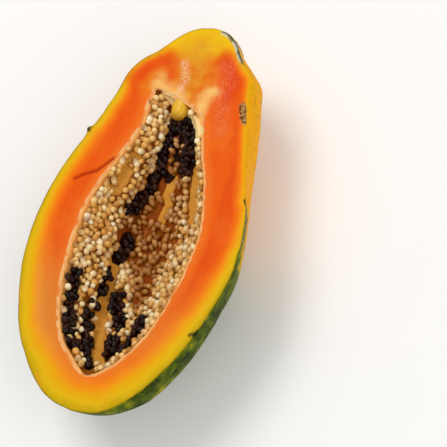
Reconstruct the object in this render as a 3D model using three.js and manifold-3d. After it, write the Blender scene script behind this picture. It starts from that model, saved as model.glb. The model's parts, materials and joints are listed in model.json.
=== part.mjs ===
// Half of a ripe papaya, cut lengthwise and lying on its back with the cut face up.
// Millimetres. X runs across the cut face, Y towards the stem end and Z up. The origin is at the
// middle of the fruit's length and width, on the surface that the fruit rests on.

import * as THREE from "three";
import { mergeVertices } from "three/addons/utils/BufferGeometryUtils.js";
import Module from "manifold-3d";

const wasm = await Module();
wasm.setup();

// Driving dimensions
const LENGTH = 304;
const HALF_WIDTH = 81.5;
const KEEL_DEPTH = 80; // from the cut face down to the skin, with its lobes smoothed out
const REST_FLAT = 1.1; // how much of the keel is pressed flat where the fruit rests
const LOBES = 5; // as many as the flower had carpels
const SKIN_LOBE_DEPTH = 0.012;
const CAVITY_LOBE_DEPTH = 0.05;

const REST_HEIGHT = KEEL_DEPTH * (1 + SKIN_LOBE_DEPTH) - REST_FLAT; // the cut face over the table
const CUT_FACE_CLEARANCE = 0.5; // how far the lining stops below the cut face
const GAP = 0.3; // between pieces that touch
const LINING = 2; // thickness of the placenta that lines the cavity

// Sections along the fruit: share of the length from the blossom tip, then the section's middle,
// half width and depth as shares of HALF_WIDTH, HALF_WIDTH and KEEL_DEPTH. The skin's fifth number is
// how far its right side bulges out below the rim, as a share of HALF_WIDTH.
const SKIN_SECTIONS = [
  [0, 0.02, 0, 0, 0],
  [0.009, 0.02, 0.2, 0.17, 0.02],
  [0.032, 0.01, 0.365, 0.35, 0.06],
  [0.082, 0, 0.56, 0.55, 0.08],
  [0.148, -0.015, 0.735, 0.735, 0.045],
  [0.22, -0.015, 0.858, 0.865, 0.015],
  [0.31, -0.015, 0.958, 0.97, -0.015],
  [0.411, -0.005, 1.015, 1, -0.025],
  [0.51, -0.018, 0.975, 0.988, -0.01],
  [0.609, -0.025, 0.882, 0.915, 0.02],
  [0.7, -0.022, 0.765, 0.805, 0.08],
  [0.785, -0.026, 0.67, 0.695, 0.13],
  [0.845, -0.034, 0.623, 0.65, 0.12],
  [0.885, -0.01, 0.56, 0.59, 0.115],
  [0.912, 0.01, 0.46, 0.5, 0.1],
  [0.94, 0.015, 0.37, 0.39, 0.05],
  [0.97, 0.027, 0.275, 0.28, 0],
  [0.992, 0.037, 0.155, 0.15, 0],
  [1, 0.045, 0, 0, 0],
];
const CAVITY_SECTIONS = [
  [0.087, 0.03, 0, 0],
  [0.095, 0.03, 0.1, 0.09],
  [0.115, 0.02, 0.19, 0.17],
  [0.15, 0, 0.315, 0.29],
  [0.21, -0.005, 0.445, 0.42],
  [0.28, -0.005, 0.524, 0.5],
  [0.345, 0, 0.569, 0.54],
  [0.411, 0.003, 0.591, 0.56],
  [0.477, 0.003, 0.593, 0.56],
  [0.543, 0, 0.544, 0.52],
  [0.609, 0, 0.459, 0.45],
  [0.674, -0.01, 0.361, 0.37],
  [0.72, -0.02, 0.315, 0.31],
  [0.757, -0.05, 0.29, 0.26],
  [0.783, -0.11, 0.235, 0.2],
  [0.803, -0.21, 0.13, 0.12],
  [0.812, -0.28, 0.05, 0.05],
  [0.815, -0.3, 0, 0],
];

// Angles run round a section in degrees, from 0 at the right rim through 90 at the keel to 180 at
// the left rim. Each wall's lobes are counted from the angle of one of them.
const SKIN_LOBE_ANGLE = 90;
const CAVITY_LOBE_ANGLE = 116;

// The knife's cut lies between two samples of a section, so the walls run past it by this angle.
const PAST_THE_CUT = 6;
const SKIN_RINGS = 34;
const SKIN_SIDES = 22;
const CAVITY_RINGS = 22;
const CAVITY_SIDES = 12;

const middleOfSpan = (t, rings) => Math.min(Math.max(t, 0.5 / rings), 1 - 0.5 / rings);

// A wall of the fruit: at(t, angle) is a point on it, t running from its blossom end to its stem end,
// and lifted(t, angle, lift) lies that far off it towards the fruit's inside.
function wall(sections, lobeDepth, lobeAngle, rings) {
  const middle = new THREE.SplineCurve(sections.map(([s, m]) => new THREE.Vector2(s, m)));
  const half = new THREE.SplineCurve(sections.map(([s, , w]) => new THREE.Vector2(s, w)));
  const depth = new THREE.SplineCurve(sections.map(([s, , , d]) => new THREE.Vector2(s, d)));
  const belly = new THREE.SplineCurve(sections.map(([s, , , , b = 0]) => new THREE.Vector2(s, b)));
  const at = (t, angle) => {
    const a = THREE.MathUtils.degToRad(angle);
    const lobe = Math.cos(LOBES * THREE.MathUtils.degToRad(angle - lobeAngle));
    const swell = 1 + lobeDepth * lobe * Math.sin(a) ** 2;
    const bulge = angle < 90 ? belly.getPoint(t).y * Math.sin(2 * a) : 0;
    const across = Math.max(0, half.getPoint(t).y) * swell * Math.cos(a);
    return new THREE.Vector3(
      HALF_WIDTH * (middle.getPoint(t).y + across + bulge),
      LENGTH * (middle.getPoint(t).x - 0.5),
      REST_HEIGHT - KEEL_DEPTH * Math.max(0, depth.getPoint(t).y) * swell * Math.sin(a),
    );
  };
  const inward = (t, angle) => {
    const u = middleOfSpan(t, rings);
    const along = at(u + 1e-3, angle).sub(at(u - 1e-3, angle));
    const round = at(u, angle + 0.1).sub(at(u, angle - 0.1));
    return along.cross(round).normalize();
  };
  const lifted = (t, angle, lift) => at(t, angle).addScaledVector(inward(t, angle), lift);
  return { at, inward, lifted };
}

const skinWall = wall(SKIN_SECTIONS, SKIN_LOBE_DEPTH, SKIN_LOBE_ANGLE, SKIN_RINGS);
const cavityWall = wall(CAVITY_SECTIONS, CAVITY_LOBE_DEPTH, CAVITY_LOBE_ANGLE, CAVITY_RINGS);

// A closed surface through rings of points, each ring a loop that runs right, down, left and back.
function loft(rings) {
  const sides = rings[0].length;
  const corners = [];
  for (let i = 0; i + 1 < rings.length; i++) {
    for (let j = 0; j < sides; j++) {
      const k = (j + 1) % sides;
      const [a, b, c, d] = [rings[i][j], rings[i][k], rings[i + 1][k], rings[i + 1][j]];
      corners.push(a, b, c, a, c, d);
    }
  }
  return new THREE.BufferGeometry().setFromPoints(corners);
}

// The rings of a wall, lifted off it, with a lip that stands straight up to the height `lip`.
function ringsOf(surface, ringCount, sides, lift, lip) {
  const rings = [];
  for (let i = 0; i <= ringCount; i++) {
    const ring = [];
    for (let j = 0; j <= sides; j++) {
      const angle = -PAST_THE_CUT + (j * (180 + 2 * PAST_THE_CUT)) / sides;
      const t = i / ringCount;
      const tip = i === 0 || i === ringCount;
      const point = surface.lifted(t, tip ? 90 : angle, tip ? 0 : lift);
      if (tip) point.y += i === 0 ? lift : -lift;
      ring.push(point);
    }
    const [right, left] = [ring[0].clone(), ring[sides].clone()];
    right.z = left.z = lip;
    rings.push([right, ...ring, left]);
  }
  return rings;
}

// A manifold-3d solid of a closed geometry, without the slivers that its tips leave.
function solidOf(geometry) {
  const bare = new THREE.BufferGeometry().setAttribute("position", geometry.getAttribute("position"));
  if (geometry.index) bare.setIndex(geometry.index);
  const merged = mergeVertices(bare, 1e-4);
  const [index, kept] = [merged.index.array, []];
  for (let i = 0; i < index.length; i += 3) {
    const [a, b, c] = index.slice(i, i + 3);
    if (a !== b && b !== c && c !== a) kept.push(a, b, c);
  }
  return new wasm.Manifold(
    new wasm.Mesh({
      numProp: 3,
      vertProperties: merged.attributes.position.array,
      triVerts: new Uint32Array(kept),
    }),
  );
}

// The flesh and its skin
const KNIFE_REACH = 60;
const STALK_SCAR = { t: 0.89, angle: 32, radius: 10.5, thickness: 2.2 };
const PLACENTA_TONGUE = { x: -1, y: 86, drop: 5.5, halfWidth: 7, halfLength: 10, halfDepth: 5 };

const slab = (top) => {
  const box = new THREE.BoxGeometry(4 * HALF_WIDTH, 2 * LENGTH, KNIFE_REACH);
  return solidOf(box.translate(0, 0, top - KNIFE_REACH / 2));
};

// The round mark where the stalk broke off, a low button on the shoulder beside the cut.
function stalkScar() {
  const { t, angle, radius, thickness } = STALK_SCAR;
  const button = new THREE.SphereGeometry(radius, 12, 6).scale(1, thickness / radius, 1);
  const outward = skinWall.inward(t, angle).negate();
  const turn = new THREE.Quaternion().setFromUnitVectors(new THREE.Vector3(0, 1, 0), outward);
  const at = skinWall.at(t, angle);
  return solidOf(button.applyQuaternion(turn).translate(at.x, at.y, at.z));
}

// The blunt yellow tongue of flesh that hangs into the cavity's stem end, grown by `extra` all round.
function placentaTongue(extra = 0) {
  const { x, y, drop, halfWidth, halfLength, halfDepth } = PLACENTA_TONGUE;
  const tongue = new THREE.SphereGeometry(1, 10, 7);
  tongue.scale(halfWidth + extra, halfLength + extra, halfDepth + extra);
  return solidOf(tongue.translate(x, y, REST_HEIGHT - drop));
}

const lipHeight = REST_HEIGHT + KNIFE_REACH / 4;
const skinSolid = solidOf(loft(ringsOf(skinWall, SKIN_RINGS, SKIN_SIDES, 0, lipHeight)));
const cavitySolid = solidOf(loft(ringsOf(cavityWall, CAVITY_RINGS, CAVITY_SIDES, 0, lipHeight)));
const fleshWithSkin = skinSolid
  .add(stalkScar())
  .subtract(cavitySolid)
  .add(placentaTongue())
  .subtract(slab(REST_HEIGHT + KNIFE_REACH))
  .subtract(slab(0));

// Seeds. They are drawn larger than life, so that fewer of them still cover the cavity's wall.
const SEED_LENGTH = 9.5;
const SEED_WIDTH = 7.8;
const SEED_PROFILE = [
  [0, -1],
  [0.8, -0.55],
  [0.92, 0.3],
  [0, 1],
].map(([r, h]) => new THREE.Vector2(r, h));
const SEED_SIDES = 5;
const SIZE_JITTER = 0.1;

const PALE_SPACING = 9.1;
const PALE_JITTER = 0.14; // of the spacing
const PALE_LEAN = [0, 32]; // degrees that a seed leans over from standing on the wall
const PALE_LIFT = GAP + LINING + 0.9; // from the wall to a pale seed's middle
const PALE_TO_DARK = 8.8; // least distance between their middles

const DARK_STEP = 4; // along a heap, from a seed on its one side to the next on its other side
const DARK_LEAN = [62, 90];
const DARK_LIFT = 2 * GAP + LINING + SEED_WIDTH / 2 + 0.9;

// Where dark seeds lie in heaps: paths of [share of the length, angle round the section]. The seeds
// of a heap lie `half` millimetres to either side of its path.
const DARK_HEAPS = {
  dark_seeds_stem_end: [
    { half: 1.9, path: [[0.76, 104], [0.7, 110], [0.632, 112], [0.585, 118], [0.545, 124]] },
    { half: 1.7, path: [[0.745, 98], [0.717, 82], [0.685, 66]] },
  ],
  dark_seeds_middle: [{ half: 1.9, path: [[0.45, 118], [0.385, 121], [0.33, 128]] }],
  dark_seeds_blossom_left: [
    { half: 2.2, path: [[0.315, 160], [0.25, 156], [0.2, 150], [0.158, 146], [0.135, 125]] },
    { half: 2, path: [[0.265, 133], [0.22, 132], [0.178, 126], [0.135, 125]] },
  ],
  dark_seeds_blossom_right: [
    { half: 2.1, path: [[0.305, 103], [0.263, 99], [0.224, 94], [0.175, 84]] },
    { half: 1.9, path: [[0.175, 84], [0.165, 72], [0.2, 60], [0.25, 62]] },
  ],
};

// Strips where no seeds stand on the lining, with the same kind of paths and half their width.
const BARE_STRIPS = [
  { half: 6.5, path: [[0.375, 117], [0.303, 117], [0.237, 115], [0.171, 106], [0.105, 98]] },
  { half: 6, path: [[0.638, 95], [0.566, 93], [0.5, 95], [0.441, 92]] },
  { half: 7, path: [[0.638, 50], [0.549, 45]] },
];

// Mulberry32, so that the seeds fall the same way every time.
function drawsFrom(start) {
  let state = start;
  return () => {
    state = (state + 0x6d2b79f5) | 0;
    let x = Math.imul(state ^ (state >>> 15), 1 | state);
    x = (x + Math.imul(x ^ (x >>> 7), 61 | x)) ^ x;
    return ((x ^ (x >>> 14)) >>> 0) / 4294967296;
  };
}

// The cavity wall's t at a share of the fruit's length.
function tAt(share) {
  let [low, high] = [0, 1];
  while (high - low > 1e-5) {
    const t = (low + high) / 2;
    if (cavityWall.at(t, 90).y < LENGTH * (share - 0.5)) low = t;
    else high = t;
  }
  return low;
}

// Places every `step` millimetres along a path on the cavity's wall.
function placesAlong(path, step) {
  const places = [];
  const marks = path.map(([share, angle]) => [tAt(share), angle]);
  for (let i = 0; i + 1 < marks.length; i++) {
    const [[t0, angle0], [t1, angle1]] = [marks[i], marks[i + 1]];
    const run = cavityWall.at(t0, angle0).distanceTo(cavityWall.at(t1, angle1));
    const steps = Math.round(run / step);
    for (let k = 0; k < steps; k++) {
      const [t, angle] = [t0 + ((t1 - t0) * k) / steps, angle0 + ((angle1 - angle0) * k) / steps];
      places.push({ t, angle });
    }
  }
  return places;
}

// The same place moved sideways along the wall.
function movedAside({ t, angle }, distance) {
  const perDegree = cavityWall.at(t, angle + 1).distanceTo(cavityWall.at(t, angle));
  return { t, angle: angle + distance / perDegree };
}

// Places in staggered rows round the wall, about one spacing apart.
function placesInRows(spacing) {
  const places = [];
  const [start, end] = [CAVITY_SECTIONS[0][0], CAVITY_SECTIONS.at(-1)[0]];
  const rows = Math.round((LENGTH * (end - start)) / (spacing * Math.sin(Math.PI / 3)));
  const jitter = () => PALE_JITTER * (2 * draw() - 1);
  for (let row = 1; row < rows; row++) {
    const t = tAt(start + ((end - start) * row) / rows);
    const girth = (Math.PI / 2) * cavityWall.at(t, 0).distanceTo(cavityWall.at(t, 180));
    const inRow = Math.max(1, Math.round(girth / spacing));
    for (let i = 0; i < inRow; i++) {
      const angle = (180 * (i + (row % 2 ? 0.25 : 0.75) + jitter())) / inRow;
      places.push({ t: t + jitter() / rows, angle });
    }
  }
  return places;
}

const draw = drawsFrom(28);

// One seed that leans over from standing on the wall, in a random direction and by a random angle
// within `lean`, with its middle `lift` off the wall.
function seedAt({ t, angle }, lift, lean) {
  const up = cavityWall.inward(t, angle);
  const hinge = new THREE.Vector3(0, 1, 0).addScaledVector(up, -up.y).normalize();
  hinge.applyAxisAngle(up, 2 * Math.PI * draw());
  const tilt = THREE.MathUtils.lerp(...lean, draw());
  const along = up.clone().applyAxisAngle(hinge, THREE.MathUtils.degToRad(tilt));
  const size = 1 + SIZE_JITTER * (2 * draw() - 1);
  const egg = new THREE.LatheGeometry(SEED_PROFILE, SEED_SIDES);
  egg.scale((size * SEED_WIDTH) / 2, (size * SEED_LENGTH) / 2, (size * SEED_WIDTH) / 2);
  egg.applyQuaternion(new THREE.Quaternion().setFromUnitVectors(new THREE.Vector3(0, 1, 0), along));
  const at = cavityWall.lifted(t, angle, lift);
  return solidOf(egg.translate(at.x, at.y, at.z));
}

const darkPlaces = {};
for (const [name, strips] of Object.entries(DARK_HEAPS)) {
  darkPlaces[name] = strips.flatMap(({ half, path }) =>
    placesAlong(path, DARK_STEP).map((place, k) => movedAside(place, k % 2 ? half : -half)),
  );
}

const barePlaces = BARE_STRIPS.flatMap(({ half, path }) =>
  placesAlong(path, DARK_STEP).map((place) => ({ ...place, half })),
);

// Whether a pale seed at this place would run into a dark seed or stand on a bare strip.
function isTaken({ t, angle }) {
  const at = cavityWall.lifted(t, angle, DARK_LIFT);
  const isNearDark = Object.values(darkPlaces).flat().some(
    (dark) => cavityWall.lifted(dark.t, dark.angle, DARK_LIFT).distanceTo(at) < PALE_TO_DARK,
  );
  const foot = cavityWall.at(t, angle);
  const isOnStrip = barePlaces.some(
    (strip) => cavityWall.at(strip.t, strip.angle).distanceTo(foot) < strip.half,
  );
  return isNearDark || isOnStrip;
}

const palePlaces = placesInRows(PALE_SPACING).filter((place) => !isTaken(place));

// The largest body of a solid, without seeds that stand apart from it and slivers.
const mainBody = (solid) =>
  solid.decompose().reduce((most, body) => (body.volume() > most.volume() ? body : most));

const heapOf = (places) =>
  mainBody(wasm.Manifold.union(places.map((place) => seedAt(place, DARK_LIFT, DARK_LEAN))));

// The lining is the gap-wide offset of the cavity, hollowed out down to the bed that the pale seeds
// grow from. Their lower halves are sunk into the bed.
const palePile = wasm.Manifold.union(
  palePlaces.map((place) => seedAt(place, PALE_LIFT, PALE_LEAN)),
);
const bedHollow = solidOf(
  loft(ringsOf(cavityWall, CAVITY_RINGS, CAVITY_SIDES, GAP + LINING, lipHeight)),
);
const liningWithSeeds = solidOf(
  loft(ringsOf(cavityWall, CAVITY_RINGS, CAVITY_SIDES, GAP, lipHeight)),
)
  .subtract(bedHollow.subtract(palePile))
  .subtract(slab(REST_HEIGHT - CUT_FACE_CLEARANCE + KNIFE_REACH))
  .subtract(placentaTongue(GAP));

// The object's meshes
function meshOf(solid, name, material) {
  const { vertProperties, triVerts, numProp } = solid.getMesh();
  const geometry = new THREE.BufferGeometry();
  const positions = new THREE.InterleavedBufferAttribute(
    new THREE.InterleavedBuffer(vertProperties, numProp), 3, 0,
  );
  geometry.setAttribute("position", positions);
  geometry.setIndex(new THREE.BufferAttribute(triVerts, 1));
  geometry.computeVertexNormals();
  const mesh = new THREE.Mesh(geometry, material);
  mesh.name = name;
  return mesh;
}

const surface = (color, roughness) =>
  new THREE.MeshStandardMaterial({ color, roughness, metalness: 0 });

const papaya = new THREE.Group();
papaya.name = "papaya";
papaya.add(
  meshOf(mainBody(fleshWithSkin), "flesh_and_skin", surface(0xe8862a, 0.45)),
  meshOf(mainBody(liningWithSeeds), "lining_and_pale_seeds", surface(0xe6d3a3, 0.5)),
);
for (const [name, places] of Object.entries(darkPlaces)) {
  papaya.add(meshOf(heapOf(places), name, surface(0x33302a, 0.35)));
}

export default papaya;
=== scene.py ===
import json
import bmesh
import bpy
import numpy as np
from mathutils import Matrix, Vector, noise
from mathutils.kdtree import KDTree

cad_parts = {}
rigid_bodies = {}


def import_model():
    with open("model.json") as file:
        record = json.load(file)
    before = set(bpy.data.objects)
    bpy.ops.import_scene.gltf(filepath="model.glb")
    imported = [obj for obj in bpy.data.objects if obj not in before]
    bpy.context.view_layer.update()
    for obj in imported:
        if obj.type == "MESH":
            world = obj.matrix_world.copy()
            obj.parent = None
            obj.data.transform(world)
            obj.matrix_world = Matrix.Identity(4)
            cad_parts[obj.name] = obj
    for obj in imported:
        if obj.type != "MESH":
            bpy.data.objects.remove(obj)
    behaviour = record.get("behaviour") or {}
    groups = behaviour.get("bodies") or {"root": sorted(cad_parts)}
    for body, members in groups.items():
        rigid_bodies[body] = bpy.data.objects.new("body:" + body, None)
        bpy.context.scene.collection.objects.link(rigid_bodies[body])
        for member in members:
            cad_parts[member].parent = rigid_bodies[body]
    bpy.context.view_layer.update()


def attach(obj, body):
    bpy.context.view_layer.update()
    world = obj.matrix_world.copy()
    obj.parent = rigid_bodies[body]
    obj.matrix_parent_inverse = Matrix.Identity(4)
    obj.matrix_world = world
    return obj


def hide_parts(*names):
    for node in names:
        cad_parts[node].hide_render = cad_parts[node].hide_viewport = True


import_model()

# The fruit's wall
# Flesh and skin of a ripe papaya half, grown as one: a thin waxy skin, yellow and green, over wet
# orange flesh that one long stroke of a knife laid open. The stalk broke off beside the stem end's tip.

# Lengths are in mm and angles in degrees. The cut face lies REST_HEIGHT above the floor, which is a
# little less than the keel's depth, because the fruit's weight presses its roundest part flat.
LENGTH, HALF_WIDTH, KEEL_DEPTH, REST_HEIGHT = 304.0, 81.5, 80.0, 79.86

# Share of the length from the blossom tip, middle, half width, depth and bulge below the right rim
SKIN_SECTIONS = np.array([
    [0, 0.02, 0, 0, 0], [0.009, 0.02, 0.2, 0.17, 0.02], [0.032, 0.01, 0.365, 0.35, 0.06],
    [0.082, 0, 0.56, 0.55, 0.08], [0.148, -0.015, 0.735, 0.735, 0.045], [0.22, -0.015, 0.858, 0.865, 0.015],
    [0.31, -0.015, 0.958, 0.97, -0.015], [0.411, -0.005, 1.015, 1, -0.025],
    [0.51, -0.018, 0.975, 0.988, -0.01], [0.609, -0.025, 0.882, 0.915, 0.02],
    [0.7, -0.022, 0.765, 0.805, 0.08], [0.785, -0.026, 0.67, 0.695, 0.13], [0.845, -0.034, 0.623, 0.65, 0.12],
    [0.885, -0.01, 0.56, 0.59, 0.115], [0.912, 0.01, 0.46, 0.5, 0.1], [0.94, 0.015, 0.37, 0.39, 0.05],
    [0.97, 0.027, 0.275, 0.28, 0], [0.992, 0.037, 0.155, 0.15, 0], [1, 0.045, 0, 0, 0]])
CAVITY_SECTIONS = np.array([
    [0.087, 0.03, 0, 0], [0.095, 0.03, 0.1, 0.09], [0.115, 0.02, 0.19, 0.17], [0.15, 0, 0.315, 0.29],
    [0.21, -0.005, 0.445, 0.42], [0.28, -0.005, 0.524, 0.5], [0.345, 0, 0.569, 0.54],
    [0.411, 0.003, 0.591, 0.56], [0.477, 0.003, 0.593, 0.56], [0.543, 0, 0.544, 0.52],
    [0.609, 0, 0.459, 0.45], [0.674, -0.01, 0.361, 0.37], [0.72, -0.02, 0.315, 0.31],
    [0.757, -0.05, 0.29, 0.26], [0.783, -0.11, 0.235, 0.2], [0.803, -0.21, 0.13, 0.12],
    [0.812, -0.28, 0.05, 0.05], [0.815, -0.3, 0, 0]])

# How far the five soft lobes of each wall swell it, and the angle of one of them
LOBES = 5
SKIN_LOBES, CAVITY_LOBES = (0.012, 90), (0.05, 116)


def along(column, t):
    """A smooth curve through evenly numbered values."""
    last = len(column) - 1
    i = np.minimum((t * last).astype(int), last - 1)
    w = t * last - i
    p0, p1 = column[np.maximum(i - 1, 0)], column[i]
    p2, p3 = column[i + 1], column[np.minimum(i + 2, last)]
    v0, v1 = (p2 - p0) / 2, (p3 - p1) / 2
    return (2 * p1 - 2 * p2 + v0 + v1) * w**3 + (3 * p2 - 3 * p1 - 2 * v0 - v1) * w**2 + v0 * w + p1


def wall_at(sections, lobes, t, angle):
    """Points in mm on a wall; angles from 0 at the right rim by 90 at the keel to 180 at the left."""
    share, middle, half, depth = (along(sections[:, k], t) for k in range(4))
    bulge = along(sections[:, 4], t) if sections.shape[1] > 4 else 0
    a = np.radians(angle)
    swell = 1 + lobes[0] * np.cos(LOBES * np.radians(angle - lobes[1])) * np.sin(a) ** 2
    reach = middle + np.maximum(half, 0) * swell * np.cos(a) + bulge * np.sin(2 * a) * (a < np.pi / 2)
    x = HALF_WIDTH * reach
    y = LENGTH * (share - 0.5)
    z = REST_HEIGHT - KEEL_DEPTH * np.maximum(depth, 0) * swell * np.sin(a)
    return np.stack(np.broadcast_arrays(x, y, z), -1)


def inward_of(grid):
    """Unit normals of a grid of points that runs from tip to tip and from rim to rim."""
    n = np.cross(np.gradient(grid, axis=0), np.gradient(grid, axis=1))
    n[0], n[-1] = n[1], n[-2]
    return n / np.maximum(np.linalg.norm(n, axis=-1, keepdims=True), 1e-9)


def ripple(points, size, seed=0.0):
    """Smooth noise from -1 to 1 with bumps of about `size` mm."""
    flat = points.reshape(-1, 3) / size + [seed, 0, 0]
    return np.array([noise.noise(Vector(p)) for p in flat]).reshape(points.shape[:-1])


def relief(points, *layers):
    """Layers of noise, each with its depth and its size in mm and its seed."""
    return sum(depth * ripple(points, size, seed) for depth, size, seed in layers)


def ramp(x, low, high):
    """0 below low, 1 above high and smooth between."""
    u = np.clip((x - low) / (high - low), 0, 1)
    return u * u * (3 - 2 * u)


def far_from(points, path):
    """Distance in mm from points to a line through `path`."""
    best = np.full(points.shape[:-1], 1e9)
    path = np.asarray(path, float)
    for a, b in zip(path[:-1], path[1:]):
        u = np.clip(((points - a) @ (b - a)) / ((b - a) @ (b - a)), 0, 1)
        best = np.minimum(best, np.linalg.norm(points - a - u[..., None] * (b - a), axis=-1))
    return best


RINGS, SKIN_SIDES, ACROSS, CAVITY_SIDES = 300, 110, 64, 36
t_rings = np.linspace(0, 1, RINGS + 1)[:, None]
skin = wall_at(SKIN_SECTIONS, SKIN_LOBES, t_rings, np.linspace(0, 180, SKIN_SIDES + 1))
cavity = wall_at(CAVITY_SECTIONS, CAVITY_LOBES, t_rings, np.linspace(0, 180, CAVITY_SIDES + 1))

# The skin has soft dents. On its left edge the knife left two nicks and a scrap that sticks out, and on
# its right edge a torn flap and three gashes, each with its middle and radius.
NICKS = [[-50, 99], [-59, 69]]
SCRAP = [-66.5, 53.8]
GASHES = [([74, 23, 78], 3.4), ([72, -78, 79], 3.4), ([76, -70, 72], 3)]

skin_out = -inward_of(skin)
push = relief(skin, (0.55, 38, 0), (0.25, 11, 5), (0.06, 3, 9))
near_rim = ramp(skin[..., 2], 74, 79)
for nick in NICKS:
    push -= 1.3 * np.exp(-np.sum((skin[..., :2] - nick) ** 2, -1) / 5) * near_rim
scrap = np.exp(-np.sum(((skin[..., :2] - SCRAP) / [2, 3]) ** 2, -1)) * near_rim
push += 3.2 * scrap
flap_far = np.hypot((skin[..., 1] - 5) / 20, (79 - skin[..., 2]) / 11) + 0.12 * ripple(skin, 5, 2)
flap = (1 - ramp(flap_far, 0.7, 1)) * (skin[..., 0] > 0)
push += 1.1 * flap
gash_edge = 0.8 * ripple(skin, 3, 4)
gash = np.maximum.reduce([1 - ramp(np.linalg.norm(skin - middle, axis=-1) + gash_edge, radius - 1, radius + 1)
                          for middle, radius in GASHES])
push -= 0.8 * gash

# The stalk's scar is a low ring around a cup, beside the stem end's tip.
SCAR_SHARE, SCAR_ANGLE = 0.89, 32.0
scar_middle = wall_at(SKIN_SECTIONS, SKIN_LOBES, np.array([SCAR_SHARE]), np.array([SCAR_ANGLE]))[0]
scar_far = np.linalg.norm(skin - scar_middle, axis=-1) + 0.9 * ripple(skin, 4, 3)
push += 0.9 * (1 - ramp(scar_far, 8.5, 10)) - 1.3 * (1 - ramp(scar_far, 3, 7.5))

# The knife rounds the skin's edge a little, and the resting spot is flat.
skin = skin + push[..., None] * skin_out
skin[:, 0, 2] = skin[:, -1, 2] = REST_HEIGHT - 0.35
skin[..., 2] = np.maximum(skin[..., 2], 0)
skin[0], skin[-1] = skin[0, 0], skin[-1, 0]

HOLLOW_RELIEF = [(0.7, 7, 2), (0.2, 3.5, 5)]
cavity += relief(cavity, *HOLLOW_RELIEF)[..., None] * inward_of(cavity)

# The cut face runs between the skin's rim and the hollow's rim, both taken right side first.
outer = np.concatenate([skin[:, 0], skin[-2:0:-1, -1]])
inner = np.concatenate([cavity[:, 0], cavity[-2:0:-1, -1]])
steps = np.linspace(0, 1, ACROSS + 1)[None, :, None]
face = outer[:, None] * (1 - steps) + inner[:, None] * steps
face[..., 2] = REST_HEIGHT


def distance_to(loop, points):
    """Distance in mm, seen from above, from points to the nearest point of a rim."""
    tree = KDTree(len(loop))
    for i, p in enumerate(loop):
        tree.insert(Vector((p[0], p[1], 0)), i)
    tree.balance()
    flat = points.reshape(-1, 3)
    return np.array([tree.find(Vector((p[0], p[1], 0)))[2] for p in flat]).reshape(points.shape[:-1])


# A crack, a bruise with dry rot, a gash from the skin's edge and the scrap's foot mark the cut face.
CRACK = [[-64.3, 13.5, 0], [-56.2, 19.3, 0], [-48.3, 23.3, 0], [-39, 35, 0]]
BRUISE = [[46.4, 94, 0], [49, 88, 0], [52, 83, 0]]
EDGE_GASH = [[67.5, -79.5, 0], [73, -76, 0]]
SCRAP_FOOT = [-67.5, 53.8, 0]

from_skin = distance_to(outer, face)
from_cavity = distance_to(inner, face)
flat_face = face * [1, 1, 0]
crack_far = far_from(flat_face, CRACK)
bruise_far = far_from(flat_face, BRUISE) + ripple(face, 4)
gash_far = far_from(flat_face, EDGE_GASH) + 0.5 * ripple(face, 3)
scrap_far = np.linalg.norm(flat_face - SCRAP_FOOT, axis=-1)


def stripes(*marks):
    """1 on ragged stripes of the cut face, fading beside them; a mark is strength, half width, points."""
    fields = []
    for strength, half_width, *path in marks:
        far = far_from(flat_face, [[x, y, 0] for x, y in path]) / half_width
        ragged = far + 0.5 * ripple(face, 7, half_width) + 0.25 * ripple(face, 2.5, half_width)
        fields.append(strength * (1 - ramp(ragged, 0, 2.2)))
    return np.maximum.reduce(fields)


# The neck is mottled: torn cream flesh beside the hollow, tan and red patches, and white specks.
torn_cream = stripes((1, 4.6, (14, 84), (16, 93), (19, 100)), (0.9, 4.5, (-25, 99), (-14, 96), (-5, 92)),
                     (0.5, 4, (-25, 106), (-21, 98)), (0.6, 3.5, (13, 84), (17, 76)))
tan_flesh = stripes((0.95, 11, (-3, 128), (2, 114), (3, 104)), (0.6, 6, (-28, 106), (-33, 97)))
red_flesh = stripes((1, 4.5, (20, 129), (27, 122), (31, 112), (34, 98)),
                    (0.8, 5, (-27, 124), (-40, 113), (-50, 100)))
white_specks = stripes((1, 2.5, (-10.5, 120), (-10, 117), (-6, 109), (-6, 98)),
                    (0.16, 5, (24, 122), (28, 108), (31, 91), (36, 72)))

face[..., 2] += relief(face, (0.35, 24, 0), (0.12, 6, 4), (0.05, 2.2, 8))
face[..., 2] -= 1.3 * np.exp(-((crack_far / 0.9) ** 2)) + 1.4 * (1 - ramp(bruise_far, 0.5, 3.6))
face[..., 2] -= 0.5 * (1 - ramp(from_cavity, 0, 2.2)) ** 2 + 0.35 * (1 - ramp(from_skin, 0, 1.2))
face[:, 0], face[:, -1] = outer, inner
HOLLOW_RIM_HEIGHT = REST_HEIGHT - 0.5
for rim in (face[:, -1], cavity[:, 0], cavity[:, -1]):
    rim[:, 2] = HOLLOW_RIM_HEIGHT
cavity[0], cavity[-1] = cavity[0, 0], cavity[-1, 0]


def mesh_of(name, *grids):
    """A mesh from grids of points in mm; each comes with its material's number and if it is a ring."""
    corners, quads, slots = [], [], []
    for points, slot, is_ring in grids:
        rows, columns = points.shape[:2]
        start = sum(len(c) for c in corners)
        corners.append(points.reshape(-1, 3))
        i, j = np.meshgrid(np.arange(rows if is_ring else rows - 1), np.arange(columns - 1), indexing="ij")
        a = start + i * columns + j
        b = start + ((i + 1) % rows) * columns + j
        quads.append(np.stack([a, b, b + 1, a + 1], -1).reshape(-1, 4))
        slots.append(np.full(i.size, slot))
    mesh = bpy.data.meshes.new(name)
    mesh.from_pydata(np.concatenate(corners) * 0.001, [], np.concatenate(quads))
    mesh.polygons.foreach_set("material_index", np.concatenate(slots))
    return mesh


def keep_field(mesh, name, parts):
    """Keeps a number for each point of a mesh, for the materials to read."""
    data = np.concatenate([part.reshape(-1) for part in parts]).astype(np.float32)
    mesh.attributes.new(name, "FLOAT", "POINT").data.foreach_set("value", data)


wall_mesh = mesh_of("fruit_wall", (skin[:, ::-1], 0, False), (face, 1, True), (cavity, 1, False))

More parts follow.
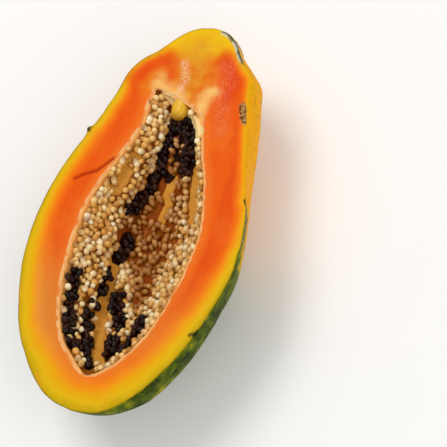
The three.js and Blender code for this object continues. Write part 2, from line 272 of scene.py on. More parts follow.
# The yellow band's width in mm at places along the fruit, from the blossom end to the stem end
BAND_PLACES = [-152, -120, -90, -60, -30, 0, 60, 105, 125]
LEFT_BAND = [19.5, 17, 14.6, 12, 9.4, 8, 7, 5.5, 5]
RIGHT_BAND = [19.5, 16.4, 13.2, 10.8, 8.6, 6.5, 4.5, 4, 5]

face_x, face_y = face[..., 0], face[..., 1]
left = face_x < 2
band = np.where(left, np.interp(face_y, BAND_PLACES, LEFT_BAND), np.interp(face_y, BAND_PLACES, RIGHT_BAND))
band *= 1 + 0.18 * ripple(face, 30, 2)
warm_edge = np.where(left, 0, np.interp(face_y, [-30, 20, 116, 126], [0, 1, 1, 0]))
cap_edge = np.interp(face_x, [-35, -16, 2, 15, 24, 34], [130, 129, 124, 133, 137, 135])
cap = ramp(face_y - cap_edge + 4 * ripple(face, 12, 6), -11, 8)
callus = (1 - ramp(from_skin, 2.4, 3.6)) * ramp(face_x, 8, 11) * ramp(face_y, 125, 130)
peach = np.exp(-(((face_y + 88) / 38) ** 2)) * np.where(face_x < 0, 1, 0.35)
green_edge = (1 - ramp(from_skin, 0.2, 1.1)) * np.where(left, 0.85, np.interp(face_y, [-30, 20], [0.85, 0]))
skin_gashes = np.maximum(gash, np.minimum(1.6 * scrap, 1))
face_gashes = 1 - ramp(np.minimum(gash_far, scrap_far - 1), 0.7, 1.9)

# What each field is on the skin, on the cut face and on the hollow's wall
WALL_FIELDS = {
    "in_bands": (0, from_skin / band + 0.55 * warm_edge, 9),
    "from_cavity": (50, from_cavity, 0),
    "crack": (0, np.exp(-((crack_far / 1.2) ** 2)), 0),
    "bruise": (0, 1 - ramp(bruise_far, 1.6, 4.2), 0),
    "cap": (0, cap, 0),
    "gash": (skin_gashes, face_gashes, 0),
    "flap": (flap, 0, 0),
    "callus": (0, callus, 0),
    "callus_line": (0, callus * (1 - ramp(np.abs(from_skin - 0.9), 0.3, 0.9)), 0),
    "cream": (0, torn_cream, 0),
    "tan": (0, tan_flesh, 0),
    "red": (0, red_flesh, 0),
    "frost": (0, white_specks, 0),
    "green_line": (0, green_edge, 0),
    "peach": (0, peach, 0),
    "scar": (1 - ramp(scar_far, 8.5, 10.5), 0, 0),
    "scar_cup": (1 - ramp(scar_far, 3, 7), 0, 0),
}
for name, (on_skin, on_face, on_hollow) in WALL_FIELDS.items():
    keep_field(wall_mesh, name, [np.broadcast_to(on_skin, skin.shape[:2])[:, ::-1],
                                 np.broadcast_to(on_face, face.shape[:2]),
                                 np.broadcast_to(on_hollow, cavity.shape[:2])])


def weld(mesh):
    """Joins a mesh's grids where they meet, and makes its faces smooth and turns them outwards."""
    work = bmesh.new()
    work.from_mesh(mesh)
    bmesh.ops.remove_doubles(work, verts=work.verts, dist=1e-6)
    bmesh.ops.dissolve_degenerate(work, edges=work.edges, dist=1e-7)
    bmesh.ops.recalc_face_normals(work, faces=work.faces)
    if work.calc_volume(signed=True) < 0:
        bmesh.ops.reverse_faces(work, faces=work.faces)
    for f in work.faces:
        f.smooth = True
    work.to_mesh(mesh)
    work.free()


def piece_from(mesh, name):
    """An object that rides on the frame."""
    piece = bpy.data.objects.new(name, mesh)
    bpy.context.collection.objects.link(piece)
    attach(piece, "root")
    return piece


def body_from(mesh, name, *materials):
    """A closed, smooth piece, from a mesh whose grids still need welding."""
    weld(mesh)
    for material in materials:
        mesh.materials.append(material)
    return piece_from(mesh, name)


def tint(code):
    """An sRGB colour code as the linear colour that a shader takes."""
    c = [int(code[i:i + 2], 16) / 255 for i in (0, 2, 4)]
    return [v / 12.92 if v <= 0.04045 else ((v + 0.055) / 1.055) ** 2.4 for v in c] + [1]


class Shading:
    """A material's node tree, with one line for each node."""

    def __init__(self, name):
        self.material = bpy.data.materials.new(name)
        self.material.use_nodes = True
        self.tree = self.material.node_tree
        self.shader = self.tree.nodes["Principled BSDF"]

    def put(self, kind, inputs, output=0, **settings):
        n = self.tree.nodes.new("ShaderNode" + kind)
        for k, v in settings.items():
            setattr(n, k, v)
        for k, v in inputs.items():
            self.give(n.inputs[k], v)
        return n.outputs[output]

    def give(self, socket, value):
        if isinstance(value, bpy.types.NodeSocket):
            self.tree.links.new(value, socket)
        else:
            socket.default_value = value

    def value(self, name):
        return self.put("Attribute", {}, output=2, attribute_name=name)

    def place(self):
        return self.put("TexCoord", {}, output=3)

    def along_y(self):
        return self.put("SeparateXYZ", {"Vector": self.place()}, output=1)

    def stretched(self, scale):
        return self.put("Mapping", {"Vector": self.place(), "Scale": scale})

    def grain(self, per_metre, detail=3, rough=0.55, where=None):
        settings = {"Vector": where or self.place(), "Scale": per_metre, "Detail": detail, "Roughness": rough}
        return self.put("TexNoise", settings)

    def math(self, operation, a, b):
        return self.put("Math", {0: a, 1: b}, operation=operation)

    def times(self, a, b):
        return self.math("MULTIPLY", a, b)

    def rise(self, x, low, high, to_low=0.0, to_high=1.0):
        limits = {"From Min": low, "From Max": high, "To Min": to_low, "To Max": to_high}
        return self.put("MapRange", {"Value": x, **limits}, interpolation_type="SMOOTHSTEP")

    def colours(self, x, stops):
        ramp_output = self.put("ValToRGB", {"Fac": x})
        elements = ramp_output.node.color_ramp.elements
        while len(elements) < len(stops):
            elements.new(0.5)
        for element, (position, code) in zip(elements, stops):
            element.position = position
            element.color = tint(code)
        return ramp_output

    def mix(self, share, a, b):
        a, b = (tint(c) if isinstance(c, str) else c for c in (a, b))
        return self.put("Mix", {0: share, 6: a, 7: b}, output=2, data_type="RGBA")

    def finish(self, colour, roughness, heights, **constants):
        """Heights are pairs of a 0-to-1 field and its depth in mm."""
        self.give(self.shader.inputs["Base Color"], colour)
        self.give(self.shader.inputs["Roughness"], roughness)
        normal = None
        for field, depth in heights:
            inputs = {"Height": field, "Distance": depth * 0.001, "Strength": 1.0}
            if normal:
                inputs["Normal"] = normal
            normal = self.put("Bump", inputs)
        if normal:
            self.give(self.shader.inputs["Normal"], normal)
        for k, v in constants.items():
            self.shader.inputs[k.replace("_", " ")].default_value = v
        return self.material


# Waxy skin: yellow towards the stem end and green towards the blossom end, with dark green clouds,
# fine dark speckles, pale pores, long scuffs and black marks
wax = Shading("papaya_skin")
greenness = wax.rise(wax.along_y(), 0.035, -0.045, 0.12, 0.72)
clouds = wax.math("SUBTRACT", wax.grain(42, 4, 0.6), 0.5)
greenness = wax.math("ADD", greenness, wax.times(clouds, 1.3))
blotches = wax.math("SUBTRACT", wax.grain(160, 3, 0.6), 0.5)
greenness = wax.math("ADD", greenness, wax.times(blotches, 0.7))
skin_colour = wax.colours(greenness, [(0.12, "f6a800"), (0.34, "eca800"), (0.47, "b49606"), (0.6, "6c760a"),
                                      (0.76, "485806"), (0.95, "223004")])
speckles = wax.rise(wax.grain(900, 2, 0.5), 0.6, 0.68)
skin_colour = wax.mix(wax.times(speckles, 0.4), skin_colour, "4c4a0c")
pores = wax.rise(wax.put("TexVoronoi", {"Vector": wax.place(), "Scale": 300.0}), 0.1, 0.16, 1, 0)
skin_colour = wax.mix(wax.times(pores, 0.3), skin_colour, "c0a01c")
scuffs = wax.rise(wax.grain(1, 4, 0.65, wax.stretched((190, 45, 190))), 0.64, 0.72)
skin_colour = wax.mix(wax.times(scuffs, 0.55), skin_colour, "7c7018")
marks = wax.rise(wax.grain(1, 5, 0.7, wax.stretched((120, 60, 120))), 0.63, 0.67)
skin_colour = wax.mix(wax.times(marks, 0.85), skin_colour, "1d1a10")
flap_strings = wax.rise(wax.grain(1, 3, 0.6, wax.stretched((700, 120, 700))), 0.42, 0.6)
flap_colour = wax.mix(flap_strings, "7c8556", "33401c")
skin_colour = wax.mix(wax.times(wax.value("flap"), 0.9), skin_colour, flap_colour)
skin_colour = wax.mix(wax.value("gash"), skin_colour, "1a1c0c")
bark = wax.mix(wax.value("scar_cup"), "b5b196", "77735a")
bark = wax.mix(wax.rise(wax.grain(600, 4), 0.5, 0.62), bark, "4a4530")
skin_colour = wax.mix(wax.value("scar"), skin_colour, bark)
skin_material = wax.finish(skin_colour, wax.rise(wax.grain(70), 0.3, 0.7, 0.4, 0.6),
                           [(wax.grain(160, 3), 0.35), (wax.grain(1100, 2), 0.05)],
                           Specular_IOR_Level=0.04)

# Wet cut flesh: a thin green line, a yellow band and then orange, reddest half way in, with streaks and
# fibres along the fruit. The stem end is capped with yellow.
flesh = Shading("papaya_flesh")
in_bands = flesh.value("in_bands")
wander = flesh.times(flesh.math("SUBTRACT", flesh.grain(60, 3), 0.5), 0.5)
banded = flesh.math("DIVIDE", flesh.math("ADD", in_bands, wander), 4.0)
flesh_colour = flesh.colours(banded, [(0.0, "bc9a04"), (0.1, "deb206"), (0.19, "e6a404"), (0.27, "ee8c04"),
                                      (0.38, "ec6c02"), (0.56, "e45400"), (0.85, "e65c04")])
streaks = flesh.rise(flesh.grain(1, 2, 0.5, flesh.stretched((70, 9, 70))), 0.42, 0.68, 0, 0.55)
flesh_colour = flesh.mix(flesh.times(streaks, flesh.rise(in_bands, 1.6, 2.6)), flesh_colour, "da4400")
flesh_colour = flesh.mix(flesh.rise(flesh.grain(35, 2), 0.5, 0.75, 0, 0.22), flesh_colour, "f08020")
fibres = flesh.grain(1, 4, 0.6, flesh.stretched((420, 70, 420)))
dark_fibres = flesh.rise(fibres, 0.48, 0.7, 0, 0.25)
flesh_colour = flesh.mix(flesh.times(dark_fibres, flesh.rise(in_bands, 1.4, 2.4)), flesh_colour, "c83c00")
mid_way = flesh.times(flesh.rise(in_bands, 0.7, 1.3), flesh.rise(in_bands, 2.0, 3.2, 1, 0))
pale_band = flesh.times(flesh.times(mid_way, flesh.value("peach")), 0.7)
flesh_colour = flesh.mix(pale_band, flesh_colour, "e39a3e")
near_hollow = flesh.rise(flesh.value("from_cavity"), 1.5, 9.0, 0.4, 0)
flesh_colour = flesh.mix(near_hollow, flesh_colour, "ee8428")
cap_colour = flesh.mix(flesh.grain(110, 2), "e6c408", "e8b008")
flesh_colour = flesh.mix(flesh.times(flesh.value("cap"), 0.92), flesh_colour, cap_colour)

# The neck's patches and specks, the paler inner flesh and the hollow's broken pale rim
tan_mottle = flesh.rise(flesh.grain(130, 4), 0.3, 0.6, 0.35, 0.95)
flesh_colour = flesh.mix(flesh.times(flesh.value("tan"), tan_mottle), flesh_colour, "dc9420")
flesh_colour = flesh.mix(flesh.times(flesh.value("red"), 0.75), flesh_colour, "dc3c00")
cream_colour = flesh.mix(flesh.grain(260, 3), "eeb040", "f6d890")
flesh_colour = flesh.mix(flesh.times(flesh.value("cream"), 0.85), flesh_colour, cream_colour)
speckled = flesh.value("frost")
specks = flesh.times(flesh.rise(flesh.grain(1100, 2), 0.5, 0.6), speckled)
flesh_colour = flesh.mix(flesh.times(speckled, 0.2), flesh_colour, "e8a060")
flesh_colour = flesh.mix(flesh.times(specks, 0.8), flesh_colour, "f8e4c4")
inner_peach = flesh.times(flesh.times(flesh.value("peach"), 0.4), flesh.rise(in_bands, 0.9, 1.7))
flesh_colour = flesh.mix(inner_peach, flesh_colour, "c4641c")
pale_rim = flesh.rise(flesh.value("from_cavity"), 0.3, 1.6, 0.85, 0)
broken_rim = flesh.times(pale_rim, flesh.rise(flesh.grain(160, 2), 0.35, 0.6, 0.2, 1))
flesh_colour = flesh.mix(broken_rim, flesh_colour, "f4cf96")

# The crack, the bruise, the gash, the green line under the skin and the stalk's dry callus
flesh_colour = flesh.mix(flesh.times(flesh.value("crack"), 0.9), flesh_colour, "a82000")
rot = flesh.mix(flesh.rise(flesh.grain(500, 2), 0.48, 0.58), "a88a58", "3a2a14")
flesh_colour = flesh.mix(flesh.times(flesh.value("bruise"), 0.85), flesh_colour, rot)
flesh_colour = flesh.mix(flesh.value("gash"), flesh_colour, "2a3010")
flesh_colour = flesh.mix(flesh.value("green_line"), flesh_colour, "6f6a08")
dry = flesh.mix(flesh.rise(flesh.grain(170, 3), 0.5, 0.65), "c6c4ac", "7a7654")
flesh_colour = flesh.mix(flesh.value("callus"), flesh_colour, dry)
flesh_colour = flesh.mix(flesh.value("callus_line"), flesh_colour, "2c2a18")
flesh_material = flesh.finish(flesh_colour, flesh.rise(flesh.grain(300), 0.3, 0.7, 0.42, 0.58),
                              [(flesh.grain(260, 3), 0.18), (flesh.grain(1300, 2), 0.04), (fibres, 0.08)],
                              Subsurface_Weight=0.08, Subsurface_Scale=0.003, Specular_IOR_Level=0.06,
                              Subsurface_Radius=(1.0, 0.45, 0.15))

fruit_wall = body_from(wall_mesh, "fruit_wall", skin_material, flesh_material)
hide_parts("flesh_and_skin")

# The placenta
# A soft, moist, tan lining that the seeds grow from. It swells in rolls between furrows, one of them
# deep and full of loose dark seeds, and it is bare in a few strips.

LINING_RINGS, LINING_SIDES = 220, 120
t_lining = np.linspace(0.01, 0.99, LINING_RINGS + 1)
angles = np.linspace(0, 180, LINING_SIDES + 1)
bed = wall_at(CAVITY_SECTIONS, CAVITY_LOBES, t_lining[:, None], angles)
bed_in = inward_of(bed)
bed += relief(bed, *HOLLOW_RELIEF)[..., None] * bed_in
share = bed[..., 1] / LENGTH + 0.5
angle = np.broadcast_to(angles, share.shape)
below_rim = np.sin(np.radians(angle))


def beside(width, marks):
    """1 on a strip of the lining, fading to 0 a little beyond its half width."""
    t_of_share = np.interp([m[0] for m in marks], share[:, LINING_SIDES // 2], t_lining)
    even, fine = np.linspace(0, 1, len(marks)), np.linspace(0, 1, 30)
    t_fine = np.interp(fine, even, t_of_share)
    a_fine = np.interp(fine, even, [m[1] for m in marks])
    path = wall_at(CAVITY_SECTIONS, CAVITY_LOBES, t_fine, a_fine)
    return 1 - ramp(far_from(bed, path) + 0.28 * width * ripple(bed, 7, width), width - 0.6, width + 0.6)


def roll(middle, width, height, low, high):
    """A swelling along the fruit, around an angle and from a low to a high share of the length."""
    across = height * np.exp(-(((angle - middle) / width) ** 2))
    return across * ramp(share, low, low + 0.1) * ramp(-share, -high, 0.09 - high)


# The rolls are thickest on the left, a furrow runs beside the keel, and torn flesh stands up as a lip
# beside the tongue.
LIP = (5.5, [[0.81, 30], [0.797, 51], [0.778, 34], [0.762, 22], [0.735, 12]])

lift = 2.1 + roll(147, 15, 5.5, 0.3, 0.8) + roll(139, 12, 2, 0.12, 0.4) + roll(60, 14, 3.5, 0.15, 0.8)
lift += roll(104, 7, 1.6, 0.2, 0.75) + roll(78, 9, 1.8, 0.1, 0.7) - roll(118, 5, 1.5, 0.1, 0.82)
lift += relief(bed, (0.7, 9, 1), (0.3, 3.5, 6)) * ramp(below_rim, 0.02, 0.2)
lip = beside(*LIP)
lift += 5 * lip
lift *= ramp(below_rim, -0.35, 0.35)
from_tip = np.minimum(share - share.min(), share.max() - share) * LENGTH
lift = np.minimum(lift, 0.6 + 0.35 * from_tip)

# The lining's edge lies 1 mm below the cut face. Its top stays lower than that, but over its bed.
EDGE_HEIGHT = REST_HEIGHT - 1
lining_top = bed + lift[..., None] * bed_in
lining_under = bed - 0.3 * bed_in
for sheet in (lining_top, lining_under):
    sheet[:, 0, 2] = sheet[:, -1, 2] = EDGE_HEIGHT
    sheet[0], sheet[-1] = sheet[0, 0], sheet[-1, 0]
lid = EDGE_HEIGHT - 1.7 * ramp(below_rim, 0, 0.016) * (1 - lip)
lid = np.minimum(np.maximum(lid, bed[..., 2] + 0.7), EDGE_HEIGHT)
lining_top[..., 2] = np.minimum(lining_top[..., 2], lid)
lining_top[0], lining_top[-1] = lining_under[0, 0], lining_under[-1, 0]

# Where the dark heaps and the bare strips run: half width in mm, and [share of the length, angle]
# along each of their strips
HEAPS = {
    "dark_seeds_stem_end": [
        (8.5, [[0.757, 68], [0.73, 60], [0.7, 57], [0.664, 68]]),
        (5.6, [[0.76, 98], [0.734, 113], [0.69, 120], [0.64, 117], [0.6, 119], [0.533, 131]])],
    "dark_seeds_middle": [
        (5.6, [[0.457, 121], [0.429, 121], [0.405, 124]]),
        (2.5, [[0.37, 129], [0.297, 130]])],
    "dark_seeds_blossom_left": [
        (6.5, [[0.31, 166], [0.25, 165], [0.2, 163], [0.145, 156]]),
        (5.5, [[0.257, 134], [0.209, 133], [0.152, 127], [0.115, 106]])],
    "dark_seeds_blossom_right": [
        (6, [[0.305, 109], [0.257, 98], [0.22, 91], [0.182, 86], [0.15, 80]]),
        (4.2, [[0.26, 62], [0.236, 63], [0.2, 60], [0.165, 66]])],
}
BARE = [
    (6, [[0.39, 127], [0.34, 124], [0.281, 121], [0.239, 118], [0.201, 113], [0.164, 106], [0.125, 95]]),
    (4, [[0.63, 92], [0.588, 95], [0.566, 90], [0.53, 94]]),
    (5.5, [[0.66, 44], [0.63, 49], [0.596, 53], [0.538, 55]])]
# The furrow shade is a strip down the deep furrow between the stem end's two strands, painted dark as shade.
FURROW_SHADE = (4.5, [[0.735, 86], [0.7, 90], [0.66, 93], [0.63, 101]])
THIN_ROLL = (5.5, [[0.64, 160], [0.613, 159], [0.585, 157], [0.555, 158]])

# Seeds lie only where the lining is over 2.2 mm below the cut face. The heaps at the blossom end have
# gaps and leave the bare strip between them free.
bare = np.maximum.reduce([beside(*strip) for strip in BARE])
rim_free = 1 - ramp(lining_top[..., 2], REST_HEIGHT - 2.6, REST_HEIGHT - 2.2)
heaps = {name: np.maximum.reduce([beside(*strip) for strip in strips]) for name, strips in HEAPS.items()}
for name in ("dark_seeds_blossom_left", "dark_seeds_blossom_right"):
    heaps[name] *= ramp(ripple(bed, 7, 11), -0.5, -0.15)
    heaps[name] *= 1 - ramp(bare, 0.2, 0.6)
for name in heaps:
    heaps[name] *= rim_free
# Along the furrow shade strip, with ragged edges, no pale seeds grow and the lining is painted near black as
# shade, as it is under the heaps.
furrow_shade = beside(*FURROW_SHADE) * ramp(ripple(bed, 6, 17), -0.45, -0.1)
dark = np.maximum.reduce([*heaps.values(), furrow_shade])
# The lining just under the hollow's rim is painted pale: partly its own pale membrane, partly painted light
# that lifts the shade on that steep wall.
brim = 1 - ramp(below_rim, 0.06, 0.2)

# Between the rolls the bottom of the hollow is painted darker: its lining a red-brown painted shade, and its
# seeds amber, partly their own tone and partly painted shade.
amber_shade_from = np.interp(share, [0.27, 0.3, 0.4, 0.49, 0.56, 0.64, 0.7], [82, 73, 72, 68, 71, 69, 75])
amber_shade_to = np.interp(share, [0.27, 0.31, 0.385, 0.44, 0.5, 0.61, 0.7], [82, 97, 108, 136, 140, 138, 120])
warmth = ramp(angle, amber_shade_from - 8, amber_shade_from + 6) * (1 - ramp(angle, amber_shade_to - 9, amber_shade_to + 5))
warmth = np.clip(warmth + 0.35 * ripple(bed, 14, 3) - 0.05, 0, 1)

# Pale seeds cover the rest, thinly where the bottom between the rolls is painted with shade and on a stretch
# of the left roll.
UNDER_TONGUE = [-3, 86, REST_HEIGHT - 6]
tongue_far = np.linalg.norm(bed - UNDER_TONGUE, axis=-1)
pale = rim_free * ramp(from_tip, 2, 5) * (1 - ramp(bare, 0.1, 0.5)) * (1 - ramp(dark, 0.05, 0.35))
pale *= ramp(tongue_far, 6, 7.5)
thin = beside(*THIN_ROLL)
pale *= (1 - ramp(lip, 0.02, 0.2)) * (1 - thin * ramp(ripple(bed, 5, 14), -0.3, 0.05))
bare = np.maximum(bare, 0.8 * thin)
pale *= 1 - 0.85 * warmth * ramp(ripple(bed, 4.5, 21), -0.15, 0.25)

edges = [np.stack([lining_top[:, side], lining_under[:, side]], 1) for side in (0, -1)]
lining_mesh = mesh_of("placenta_lining", (lining_top, 0, False), (lining_under[:, ::-1], 0, False),
                      *[(edge, 0, False) for edge in edges])

# Seeds grow on the lining's top alone, so where they grow is 0 on its underside and edges.
seeded = {"pale": pale, **heaps}
tinted = {"bare": bare, "warmth": warmth, "dark": dark, "brim": brim, "lip": lip}
for name, field in {**seeded, **tinted}.items():
    beyond_top = 0.0 if name in seeded else 1.0
    on_edges = [np.stack([field[:, side]] * 2, 1) for side in (0, -1)]
    keep_field(lining_mesh, name, [field, *[beyond_top * part for part in (field[:, ::-1], *on_edges)]])

pith = Shading("placenta")
# The lining's brown is partly its own colour and partly painted shade, darker than the bare membrane, for the
# gaps between the seeds.
pith_colour = pith.mix(pith.grain(120, 3), "6c3408", "a8641a")
# Painted shade: between the rolls the lining is darkened to a deep red-brown.
pith_colour = pith.mix(pith.rise(pith.value("warmth"), 0, 1, 0, 0.9), pith_colour, "8a3a04")
strings = pith.grain(1, 4, 0.6, pith.stretched((700, 90, 700)))
pith_colour = pith.mix(pith.rise(strings, 0.5, 0.7, 0, 0.3), pith_colour, "c88a34")
membrane = pith.mix(pith.grain(160, 3), "c87c1c", "e2a648")
pith_colour = pith.mix(pith.rise(pith.value("bare"), 0.4, 0.9), pith_colour, membrane)
# Painted shade: under the dark heaps and along the furrow strip the lining is painted near black, for the
# gaps between the seeds.
pith_colour = pith.mix(pith.rise(pith.value("dark"), 0.15, 0.7), pith_colour, "260a02")
# Painted light: the lining under the rim is made a bright pale tan.
pith_colour = pith.mix(pith.value("brim"), pith_colour, "f6ae60")
lip_colour = pith.mix(pith.grain(300, 3), "eebc60", "fae6b0")
pith_colour = pith.mix(pith.rise(pith.value("lip"), 0.15, 0.7), pith_colour, lip_colour)
pith_material = pith.finish(pith_colour, 0.42, [(pith.grain(420, 3), 0.5), (strings, 0.4)],
                            Subsurface_Weight=0.1, Subsurface_Scale=0.002, Specular_IOR_Level=0.06)
placenta_lining = body_from(lining_mesh, "placenta_lining", pith_material)
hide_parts("lining_and_pale_seeds")

# The tongue
# A blunt yellow tongue of flesh, smooth and wet, that grows from the wall and hangs into the hollow's
# stem end over the deepest furrow. It is darker at its free tip.

TONGUE_HALF_WIDTH, TONGUE_HALF_LENGTH, TONGUE_HALF_DEPTH = 6.4, 13.5, 5.3
TONGUE_MIDDLE = [-3.6, 89.5, REST_HEIGHT - 6]

turn, around = np.meshgrid(np.linspace(0, np.pi, 41), np.linspace(0, 2 * np.pi, 61), indexing="ij")
girth = np.sin(turn) ** 0.8 * (1 - 0.18 * np.cos(turn))
blob = np.stack([TONGUE_HALF_WIDTH * girth * np.cos(around), TONGUE_HALF_LENGTH * np.cos(turn),
                 TONGUE_HALF_DEPTH * girth * np.sin(around)], -1)
blob *= (1 + relief(blob, (0.07, 9, 4), (0.02, 3, 8)))[..., None]
blob += TONGUE_MIDDLE
blob[0], blob[-1], blob[:, -1] = blob[0].mean(0), blob[-1].mean(0), blob[:, 0]
tongue_mesh = mesh_of("tongue", (blob, 0, False))

tip_flesh = Shading("tongue")
tongue_colour = tip_flesh.mix(tip_flesh.grain(220, 3), "dca00c", "e8b830")
along_tongue = tip_flesh.along_y()
tongue_colour = tip_flesh.mix(tip_flesh.rise(along_tongue, 0.083, 0.075, 0, 0.75), tongue_colour, "7a4004")
# Painted light: the tongue's end at the wall is a lighter yellow, as where light falls on its top.
tongue_colour = tip_flesh.mix(tip_flesh.rise(along_tongue, 0.086, 0.094), tongue_colour, "ecbc58")
tongue_material = tip_flesh.finish(tongue_colour, 0.3, [(tip_flesh.grain(500, 2), 0.1)],
                                   Specular_IOR_Level=0.25, Subsurface_Weight=0.1, Subsurface_Scale=0.003)
tongue = body_from(tongue_mesh, "tongue", tongue_material)
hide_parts("flesh_and_skin")

# Pale seeds
# Unripe seeds, each an egg about 6.5 mm long in a wet skin. They grow close together all over the rolls
# of the placenta, and lean every way.

SEED_RINGS, SEED_SIDES = 9, 13


def seed_shape(name, length, width, wrinkle, seed):
    """An egg, blunt at one end, as a template for what the node group sets out."""
    ring, side = np.meshgrid(np.linspace(0, np.pi, SEED_RINGS + 1),
                             np.arange(SEED_SIDES) * 2 * np.pi / SEED_SIDES, indexing="ij")
    girth = np.sin(ring) * (1 + 0.2 * np.cos(ring)) * width / 2
    egg = np.stack([girth * np.cos(side), girth * np.sin(side), np.cos(ring) * length / 2], -1)
    egg *= (1 + wrinkle * ripple(egg, 1.3, seed))[..., None]
    egg[0], egg[-1] = egg[0].mean(0), egg[-1].mean(0)
    cells = [(i * SEED_SIDES + j, (i + 1) * SEED_SIDES + j,
              (i + 1) * SEED_SIDES + (j + 1) % SEED_SIDES, i * SEED_SIDES + (j + 1) % SEED_SIDES)
             for i in range(SEED_RINGS) for j in range(SEED_SIDES)]
    template = bpy.data.meshes.new(name)
    template.from_pydata(egg.reshape(-1, 3) * 0.001, [], cells)
    keep_field(template, "tip", [0.5 + 0.5 * np.cos(ring)])
    weld(template)
    return bpy.data.objects.new(name, template)


def three_of(name, length, width, wrinkle):
    """Three seeds that differ a little in length and in their wrinkles."""
    shapes = bpy.data.collections.new(name)
    for k in range(3):
        shape = seed_shape("%s_%d" % (name, k), length * (1 + 0.05 * k), width, wrinkle, 10.0 * k)
        shapes.objects.link(shape)
    return shapes


def seed_rule():
    """A node group that sets seeds out on a surface where one of its fields is above nothing."""
    group = bpy.data.node_groups.new("set_out_seeds", "GeometryNodeTree")
    for name, kind in (("Surface", "Geometry"), ("Cover", "Float"), ("Spacing", "Float"),
                       ("Least lift", "Float"), ("Most lift", "Float"), ("Least lean", "Float"),
                       ("Random seed", "Int"), ("Seeds", "Collection"), ("Material", "Material")):
        group.interface.new_socket(name, in_out="INPUT", socket_type="NodeSocket" + kind)
    group.interface.new_socket("Result", in_out="OUTPUT", socket_type="NodeSocketGeometry")

    def enabled(sockets, name=None):
        """The socket that the node shows, of several that share a name."""
        return next(s for s in sockets if s.enabled and name in (None, s.name))

    def put(kind, inputs, **settings):
        n = group.nodes.new(kind)
        for k, v in settings.items():
            setattr(n, k, v)
        for k, v in inputs.items():
            socket = n.inputs[k] if isinstance(k, int) else enabled(n.inputs, k)
            if isinstance(v, bpy.types.NodeSocket):
                group.links.new(v, socket)
            else:
                socket.default_value = v
        return n

    given = group.nodes.new("NodeGroupInput").outputs
    seed = given["Random seed"]

    def drawn(low, high, salt):
        """A random number for each seed."""
        own = put("ShaderNodeMath", {0: seed, 1: salt}, operation="ADD").outputs[0]
        n = put("FunctionNodeRandomValue", {"Min": low, "Max": high, "Seed": own}, data_type="FLOAT")
        return enabled(n.outputs)

    FULL_TURN, MOST_LEAN, SMALLEST, LARGEST = 6.283, 1.75, 0.82, 1.15

    # Points on the surface, no closer than the spacing, each lifted along its own normal
    points = put("GeometryNodeDistributePointsOnFaces",
                 {"Mesh": given["Surface"], "Distance Min": given["Spacing"], "Density Max": 900000.0,
                  "Density Factor": given["Cover"], "Seed": seed}, distribute_method="POISSON")
    lift = put("ShaderNodeVectorMath", {0: points.outputs["Normal"],
                                        "Scale": drawn(given["Least lift"], given["Most lift"], 1)},
               operation="SCALE").outputs[0]
    lifted = put("GeometryNodeSetPosition", {"Geometry": points.outputs["Points"], "Offset": lift}).outputs[0]

    # Each seed leans away from the normal, in a direction of its own.
    lean = put("ShaderNodeCombineXYZ", {"X": drawn(given["Least lean"], MOST_LEAN, 2),
                                        "Z": drawn(0.0, FULL_TURN, 3)}).outputs[0]
    spin = put("ShaderNodeCombineXYZ", {"Z": drawn(0.0, FULL_TURN, 4)}).outputs[0]
    spun = put("FunctionNodeRotateRotation", {"Rotation": points.outputs["Rotation"], "Rotate By": spin},
               rotation_space="LOCAL").outputs[0]
    leant = put("FunctionNodeRotateRotation", {"Rotation": spun, "Rotate By": lean},
                rotation_space="LOCAL").outputs[0]
    shapes = put("GeometryNodeCollectionInfo", {"Collection": given["Seeds"], "Separate Children": True,
                                                "Reset Children": True}).outputs[0]
    which = put("FunctionNodeRandomValue", {"Min": 0, "Max": 2, "Seed": seed}, data_type="INT")
    seeds = put("GeometryNodeInstanceOnPoints",
                {"Points": lifted, "Instance": shapes, "Pick Instance": True,
                 "Instance Index": enabled(which.outputs), "Rotation": leant,
                 "Scale": drawn(SMALLEST, LARGEST, 5)}).outputs[0]
    toned = put("GeometryNodeStoreNamedAttribute",
                {"Geometry": seeds, "Name": "tone", "Value": drawn(0.0, 1.0, 6)},
                data_type="FLOAT", domain="INSTANCE").outputs[0]
    real = put("GeometryNodeRealizeInstances", {"Geometry": toned}).outputs[0]
    wet = put("GeometryNodeSetMaterial", {"Geometry": real, "Material": given["Material"]}).outputs[0]
    group.links.new(wet, group.nodes.new("NodeGroupOutput").inputs["Result"])
    return group


rule = seed_rule()


def set_out(name, cover, shapes, material, **numbers):
    """Seeds on the lining as one plain mesh that rides on the frame."""
    carrier = bpy.data.objects.new(name + "_carrier", placenta_lining.data)
    bpy.context.collection.objects.link(carrier)
    modifier = carrier.modifiers.new("seeds", "NODES")
    modifier.node_group = rule
    sockets = {s.name: s.identifier for s in rule.interface.items_tree if s.in_out == "INPUT"}
    for key, value in {"Seeds": shapes, "Material": material, **numbers}.items():
        modifier[sockets[key.replace("_", " ")]] = value
    modifier[sockets["Cover"] + "_use_attribute"] = True
    modifier[sockets["Cover"] + "_attribute_name"] = cover
    done = carrier.evaluated_get(bpy.context.evaluated_depsgraph_get())
    mesh = bpy.data.meshes.new_from_object(done)
    mesh.name = name
    bpy.data.objects.remove(carrier)
    return piece_from(mesh, name)


def put_away(shapes):
    """Removes the templates once their copies are set out."""
    for template in list(shapes.objects):
        bpy.data.objects.remove(template)


coat = Shading("pale_seed")
tone = coat.value("tone")
seed_colour = coat.colours(tone, [(0.0, "d09038"), (0.3, "e6b058"), (0.65, "f4d08a"), (1.0, "fcebc2")])
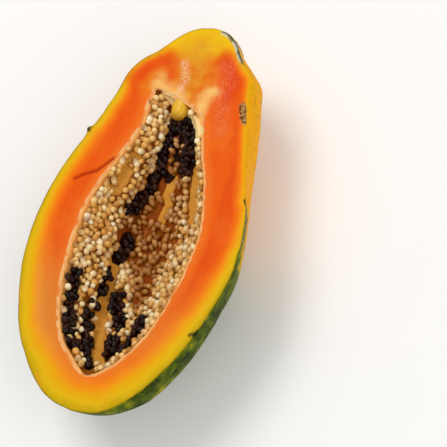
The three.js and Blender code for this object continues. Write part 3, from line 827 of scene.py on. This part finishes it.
# Between the rolls the seeds turn amber, partly their own tone and partly painted shade.
amber_and_shade_colour = coat.mix(tone, "742c00", "c47c1c")
seed_colour = coat.mix(coat.times(coat.value("warmth"), 0.88), seed_colour, amber_and_shade_colour)
seed_colour = coat.mix(coat.rise(coat.value("tip"), 0.75, 0.2, 0, 0.75), seed_colour, "a0600e")
seed_colour = coat.mix(coat.rise(coat.grain(500, 2), 0.5, 0.75, 0, 0.35), seed_colour, "a86c24")
pale_material = coat.finish(seed_colour, 0.32, [(coat.grain(900, 2), 0.12)], Subsurface_Weight=0.12,
                            Subsurface_Scale=0.0015, Specular_IOR_Level=0.4, Coat_Weight=0.2,
                            Coat_Roughness=0.12)
pale_shapes = three_of("pale_seed", 6.5, 4.5, 0.05)
pale_seeds = set_out("pale_seeds", "pale", pale_shapes, pale_material, Spacing=0.0040, Least_lift=0.0009,
                     Most_lift=0.002, Least_lean=0.85, Random_seed=7)
put_away(pale_shapes)
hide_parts("lining_and_pale_seeds")

# Dark seeds
# Ripe seeds, almost black and finely wrinkled, each in a clear wet skin. They have come loose and lie
# in four heaps, in the furrows of the lining and at both its ends.

ripe = Shading("dark_seed")
ripe_colour = ripe.colours(ripe.value("tone"), [(0.0, "0c0302"), (0.5, "1a0906"), (1.0, "38180a")])
ripe_colour = ripe.mix(ripe.rise(ripe.grain(900, 3), 0.5, 0.75, 0, 0.4), ripe_colour, "4c2412")
dark_material = ripe.finish(ripe_colour, 0.3, [(ripe.grain(1500, 2), 0.3)], Specular_IOR_Level=0.1,
                            Coat_Weight=0.16, Coat_Roughness=0.05)
FIRST_HEAP_SEED = 21
dark_shapes = three_of("dark_seed", 6.6, 4.7, 0.07)
for number, name in enumerate(HEAPS):
    heap = set_out(name + "_heap", name, dark_shapes, dark_material, Spacing=0.0042, Least_lift=0.0016,
                   Most_lift=0.0034, Least_lean=0.9, Random_seed=FIRST_HEAP_SEED + number)
    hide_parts(name)
put_away(dark_shapes)

# Camera, light and floor
# The camera looks down on the lying half and sees it as the photo shows it. The floor is pale paper,
# and two large soft lamps and a white surrounding light it.
camera = bpy.data.objects.new("camera", bpy.data.cameras.new("camera"))
bpy.context.collection.objects.link(camera)
camera.location = (0.45949, -0.25738, 0.93496)
camera.rotation_euler = np.radians((22.862, 18.384, 19.780))
camera.data.lens, camera.data.sensor_width = 111.95, 36
camera.data.clip_start, camera.data.clip_end = 0.05, 20
bpy.context.scene.camera = camera
bpy.context.scene.view_settings.view_transform = "Standard"

floor_mesh = bpy.data.meshes.new("floor")
floor_mesh.from_pydata([(-4, -4, 0), (4, -4, 0), (4, 4, 0), (-4, 4, 0)], [], [(0, 1, 2, 3)])
floor = bpy.data.objects.new("floor", floor_mesh)
bpy.context.collection.objects.link(floor)
paper = Shading("pale_floor")
floor_mesh.materials.append(paper.finish(paper.mix(paper.grain(2), "f6f5f3", "fbfaf9"), 0.9, []))


def soft_light(name, place, watts, size, colour):
    """A square lamp that faces the spot under the fruit's middle."""
    lamp = bpy.data.lights.new(name, "AREA")
    lamp.energy, lamp.size, lamp.color = watts, size, colour
    light = bpy.data.objects.new(name, lamp)
    light.location = place
    light.rotation_euler = Vector(place).to_track_quat("Z", "Y").to_euler()
    bpy.context.collection.objects.link(light)


soft_light("key", (-0.5, 0.5, 1.6), 12, 0.8, (1, 0.98, 0.95))
soft_light("fill", (1.3, -0.5, 1.2), 11, 1.6, (0.98, 0.99, 1))
world = bpy.data.worlds.new("studio")
bpy.context.scene.world = world
world.use_nodes = True
world.node_tree.nodes["Background"].inputs["Color"].default_value = (1, 1, 1, 1)
world.node_tree.nodes["Background"].inputs["Strength"].default_value = 0.54
